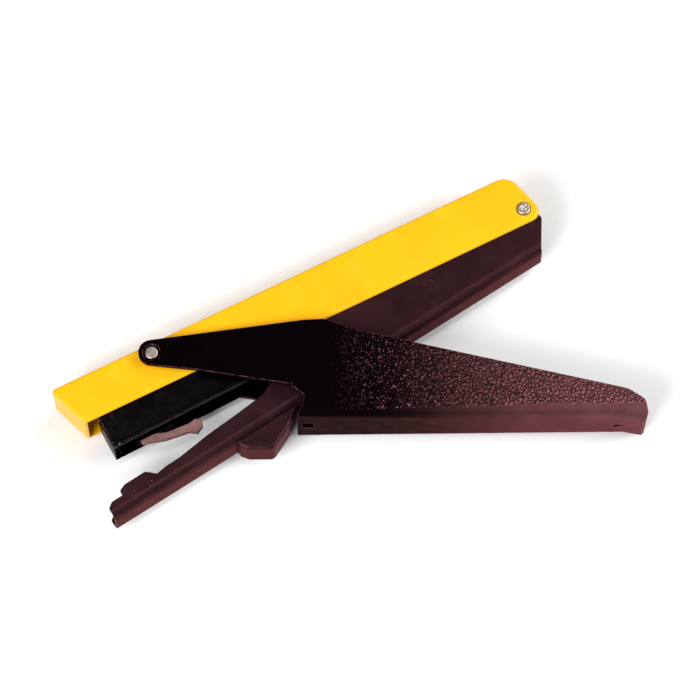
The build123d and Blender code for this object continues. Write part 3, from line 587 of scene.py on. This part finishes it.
@dataclass
class Magazine:
    """Magazine with its staple strip, pusher spring, rail, pusher and latch."""

    wire: float = 0.5 * MM
    wire_pitch: float = 1.03        # least spacing of two staples, in wires
    shoulder: float = 0.55 * MM
    shoulder_steps: int = 3
    unevenness: float = 0.03 * MM
    coil_wire: float = 0.35 * MM
    coil_turns: float = 24.0
    coil_steps: int = 20
    coil_sides: int = 10
    coil_closing: float = 0.4       # share of the coil's pitch that eases in and out

    def angle(self) -> float:
        """Give the angle about Z at which the magazine lies."""
        along = joint("pusher_slide")["axis"]
        return math.atan2(along[1], along[0])

    def place(self, node: str) -> tuple[Matrix, float, float, float]:
        """Where a node's box lies in the magazine's own directions.

        Args:
            node: a CAD node that is a box or a coil in line with the magazine.

        Returns:
            The matrix of its middle, and its length, height and width.
        """
        angle = self.angle()
        low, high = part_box(node)
        size = high - low
        length = (size.x * math.cos(angle) - size.y * math.sin(angle)) / math.cos(2 * angle)
        height = (size.y * math.cos(angle) - size.x * math.sin(angle)) / math.cos(2 * angle)
        turn = Matrix.Translation(middle(node)) @ Matrix.Rotation(angle, 4, "Z")
        return turn, length, height, size.z

    def staples(self, material: bpy.types.Material) -> bpy.types.Object:
        """Make the strip of separate staples, each bent from wire with rounded shoulders.

        Args:
            material: the wire's finish.

        Returns:
            The strip, as one mesh.
        """
        turn, length, height, crown = self.place("staple_strip")
        count = int(length / (self.wire * self.wire_pitch))
        recipe = Recipe("staple_row", {
            "Count": ("Int", count), "Pitch": ("Float", (length - self.wire) / (count - 1)),
            "Crown": ("Float", crown - self.wire), "Leg": ("Float", height - self.wire / 2),
            "Wire": ("Float", self.wire), "Shoulder": ("Float", self.shoulder),
            "Seed": ("Int", 7), "Material": ("Material", material)})
        inlet = recipe.inlet
        half = recipe.math("MULTIPLY", inlet["Crown"], 0.5)
        back = recipe.math("MULTIPLY", half, -1.0)
        drop = recipe.math("MULTIPLY", inlet["Leg"], -1.0)
        corners = [recipe.add("ShaderNodeCombineXYZ", None, {1: y, 2: z}).outputs[0]
                   for y, z in ((drop, back), (0.0, back), (0.0, half), (drop, half))]
        switch = recipe.add("GeometryNodeIndexSwitch", {"data_type": "VECTOR"})
        while len(switch.index_switch_items) < len(corners):
            switch.index_switch_items.new()
        recipe.feed(switch.inputs["Index"], recipe.add("GeometryNodeInputIndex").outputs[0])
        for number, corner in enumerate(corners):
            recipe.feed(switch.inputs[number + 1], corner)
        bent = recipe.add("GeometryNodeMeshLine", None, {"Count": len(corners)}).outputs[0]
        bent = recipe.add("GeometryNodeSetPosition", None,
                          {0: bent, "Position": switch.outputs[0]}).outputs[0]
        path = recipe.add("GeometryNodeMeshToCurve", None, {0: bent}).outputs[0]
        path = recipe.add("GeometryNodeFilletCurve", {"mode": "POLY"},
                          {"Curve": path, "Count": self.shoulder_steps,
                           "Radius": inlet["Shoulder"]}).outputs[0]
        section = recipe.add("GeometryNodeCurvePrimitiveQuadrilateral", None,
                             {0: inlet["Wire"], 1: inlet["Wire"]}).outputs[0]
        staple = recipe.add("GeometryNodeCurveToMesh", None,
                            {0: path, 1: section, "Fill Caps": True}).outputs[0]
        pitch = recipe.add("ShaderNodeCombineXYZ", None, {0: inlet["Pitch"]}).outputs[0]
        row = recipe.add("GeometryNodeMeshLine", None, {"Count": inlet["Count"], "Offset": pitch}).outputs[0]
        sideways = self.unevenness * 2 / 3
        jitter = recipe.add("FunctionNodeRandomValue", {"data_type": "FLOAT_VECTOR"},
                            {"Min": (0, -self.unevenness, -sideways), "Max": (0, 0.0, sideways),
                             "Seed": inlet["Seed"]})
        row = recipe.add("GeometryNodeSetPosition", None, {0: row, "Offset": jitter.outputs[0]}).outputs[0]
        copies = recipe.add("GeometryNodeInstanceOnPoints", None, {"Points": row, "Instance": staple})
        recipe.finish(copies.outputs[0], smooth=False)
        start = Matrix.Translation(((self.wire - length) / 2, (height - self.wire) / 2, 0.0))
        return recipe.run("staples", turn @ start)

    def spring(self, material: bpy.types.Material) -> bpy.types.Object:
        """Make the pusher's spring, wound closer towards its two ends.

        Args:
            material: the spring's finish.

        Returns:
            The coil, as one mesh.
        """
        turn, length, _, across = self.place("pusher_spring")
        wire = self.coil_wire
        recipe = Recipe("coil", {
            "Length": ("Float", length - 2 * wire), "Radius": ("Float", across / 2 - wire),
            "Wire": ("Float", wire), "Turns": ("Float", self.coil_turns),
            "Material": ("Material", material)})
        inlet = recipe.inlet
        spiral = recipe.add("GeometryNodeCurveSpiral", None, {
            "Resolution": self.coil_steps, "Rotations": inlet["Turns"], "Start Radius": inlet["Radius"],
            "End Radius": inlet["Radius"], "Height": inlet["Length"]}).outputs[0]
        where = recipe.add("GeometryNodeInputPosition").outputs[0]
        parts = recipe.add("ShaderNodeSeparateXYZ", None, {0: where}).outputs
        share = recipe.math("DIVIDE", parts["Z"], inlet["Length"])
        eased = recipe.add("ShaderNodeMapRange", {"interpolation_type": "SMOOTHSTEP"}, {"Value": share})
        closer = recipe.math("ADD", recipe.math("MULTIPLY", share, 1 - self.coil_closing),
                             recipe.math("MULTIPLY", eased.outputs["Result"], self.coil_closing))
        height = recipe.math("MULTIPLY", closer, inlet["Length"])
        moved = recipe.add("ShaderNodeCombineXYZ", None, {0: parts["X"], 1: parts["Y"], 2: height}).outputs[0]
        spiral = recipe.add("GeometryNodeSetPosition", None, {0: spiral, "Position": moved}).outputs[0]
        section = recipe.add("GeometryNodeCurvePrimitiveCircle", None,
                             {"Resolution": self.coil_sides, "Radius": inlet["Wire"]}).outputs[0]
        wound = recipe.add("GeometryNodeCurveToMesh", None,
                           {0: spiral, 1: section, "Fill Caps": True}).outputs[0]
        recipe.finish(wound, smooth=True)
        lay = Matrix.Rotation(math.radians(90), 4, "Y") @ Matrix.Translation((0, 0, wire - length / 2))
        return recipe.run("pusher_coil", turn @ lay)

    def build(self) -> None:
        """Dress the magazine and add its staples and coil."""
        angle = self.angle()
        dress(GLOSS_BLACK.build(), "magazine_channel", "magazine_nose")
        dress(GROUND.build(angle), "staple_rail", "spring_stop", "pusher")
        dress(LATCH.build(angle), "latch_lever")
        dress(SPRING.build(angle), "latch_spring")
        settle(self.staples(WIRE.build(math.radians(90))), "magazine", "staple_wire", "staple_strip")
        settle(self.spring(SPRING.build()), "magazine", "spring_steel", "pusher_spring")


@dataclass
class AnvilArm:
    """Dark folded arm with the anvil in its nose and the heel block under it."""

    def build(self) -> None:
        """Dress the arm, its anvil and its heel block."""
        black = SATIN_BLACK.build()
        dress(black, "anvil_arm", "anvil_rivets", "heel_block")
        dress(GLOSS_BLACK.build(), "anvil_block")
        dress(GROUND.build(math.radians(90)), "anvil_plate")


@dataclass
class Handle:
    """Crinkle-painted lever with its roller."""

    grain_start: float = -0.012
    palm_slope: float = math.radians(-26.9)

    def build(self) -> None:
        """Dress the handle and its roller."""
        along = Vector((math.cos(self.palm_slope), math.sin(self.palm_slope), 0))
        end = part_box("handle")[1].x
        dress(CRINKLE_BLACK.build(along, self.grain_start, end), "handle")
        dress(GROUND.build(math.radians(90)), "handle_roller")


# ---------------------------------------------------------------- studio
@dataclass(frozen=True)
class Softbox:
    """Rectangular area light aimed at one point, its length kept level."""

    name: str
    position: tuple[float, float, float]
    size: tuple[float, float]
    power: float

    def build(self, target: Vector) -> None:
        """Add the light.

        Args:
            target: the point that it faces.
        """
        light = bpy.data.lights.new(self.name, "AREA")
        light.shape, light.energy = "RECTANGLE", self.power
        light.size, light.size_y = self.size
        holder = bpy.data.objects.new(self.name, light)
        holder.location = Vector(self.position)
        holder.rotation_euler = (target - holder.location).to_track_quat("-Z", "Y").to_euler()
        bpy.context.scene.collection.objects.link(holder)


@dataclass
class Studio:
    """Pale floor, soft lights and a long-lens camera above the tool."""

    azimuth: float = math.radians(-26.9)
    elevation: float = math.radians(70.0)
    distance: float = 1.5
    view_width: float = 0.2941
    aim: tuple[float, float, float] = (0.0099, 0.0217, 0.0236)
    floor_half: float = 1.6
    floor_drop: float = 0.02 * MM
    world: float = 0.05
    lights: tuple[Softbox, ...] = (
        Softbox("key_softbox", (-1.15, -0.45, 1.1), (1.0, 1.0), 29.0),
        Softbox("side_softbox", (1.25, -0.65, 1.0), (0.9, 0.9), 19.0),
        Softbox("rear_softbox", (1.25, 0.5, 1.0), (0.7, 0.7), 9.0),
        Softbox("strip_light", (0.0, -0.02, 1.3), (1.5, 0.05), 4.0))

    def floor(self) -> None:
        """Lay the pale floor just under the tool."""
        level = CAD_BOX[0].z - self.floor_drop
        reach = self.floor_half
        mesh = bpy.data.meshes.new("floor")
        mesh.from_pydata([(x * reach, y * reach, level) for x, y in ((-1, -1), (1, -1), (1, 1), (-1, 1))],
                         [], [(0, 1, 2, 3)])
        s = Surface("pale_floor")
        colour = s.mix(s.noise(3.0, 2.0), (0.93, 0.93, 0.93), (0.95, 0.95, 0.95))
        mesh.materials.append(s.close({"Base Color": colour, "Roughness": 0.8}))
        floor = bpy.data.objects.new("floor", mesh)
        bpy.context.scene.collection.objects.link(floor)

    def camera(self) -> None:
        """Set the camera on its azimuth and elevation, framed by width."""
        back = Vector((math.sin(self.azimuth) * math.cos(self.elevation),
                       -math.cos(self.azimuth) * math.cos(self.elevation), math.sin(self.elevation)))
        data = bpy.data.cameras.new("camera")
        data.lens = data.sensor_width * self.distance / self.view_width
        data.clip_end = 20.0
        camera = bpy.data.objects.new("camera", data)
        camera.location = Vector(self.aim) + back * self.distance
        camera.rotation_euler = (-back).to_track_quat("-Z", "Y").to_euler()
        bpy.context.scene.collection.objects.link(camera)
        bpy.context.scene.camera = camera

    def build(self) -> None:
        """Make the floor, world, lights and camera."""
        self.floor()
        sky = bpy.data.worlds.new("studio")
        sky.use_nodes = True
        sky.node_tree.nodes["Background"].inputs["Color"].default_value = (1.0, 1.0, 1.0, 1.0)
        sky.node_tree.nodes["Background"].inputs["Strength"].default_value = self.world
        bpy.context.scene.world = sky
        bpy.context.scene.view_settings.view_transform = "Standard"
        for light in self.lights:
            light.build(Vector((0, 0, 0.01)))
        self.camera()


def main() -> None:
    """Build every sub-assembly in order, then the studio."""
    logging.basicConfig(level=logging.INFO, format="%(message)s")
    for part in (Studio(), CoverAssembly(), PivotHardware(), Magazine(), AnvilArm(), Handle()):
        part.build()
        log.info("built %s", type(part).__name__)


if __name__ == "__main__":
    main()
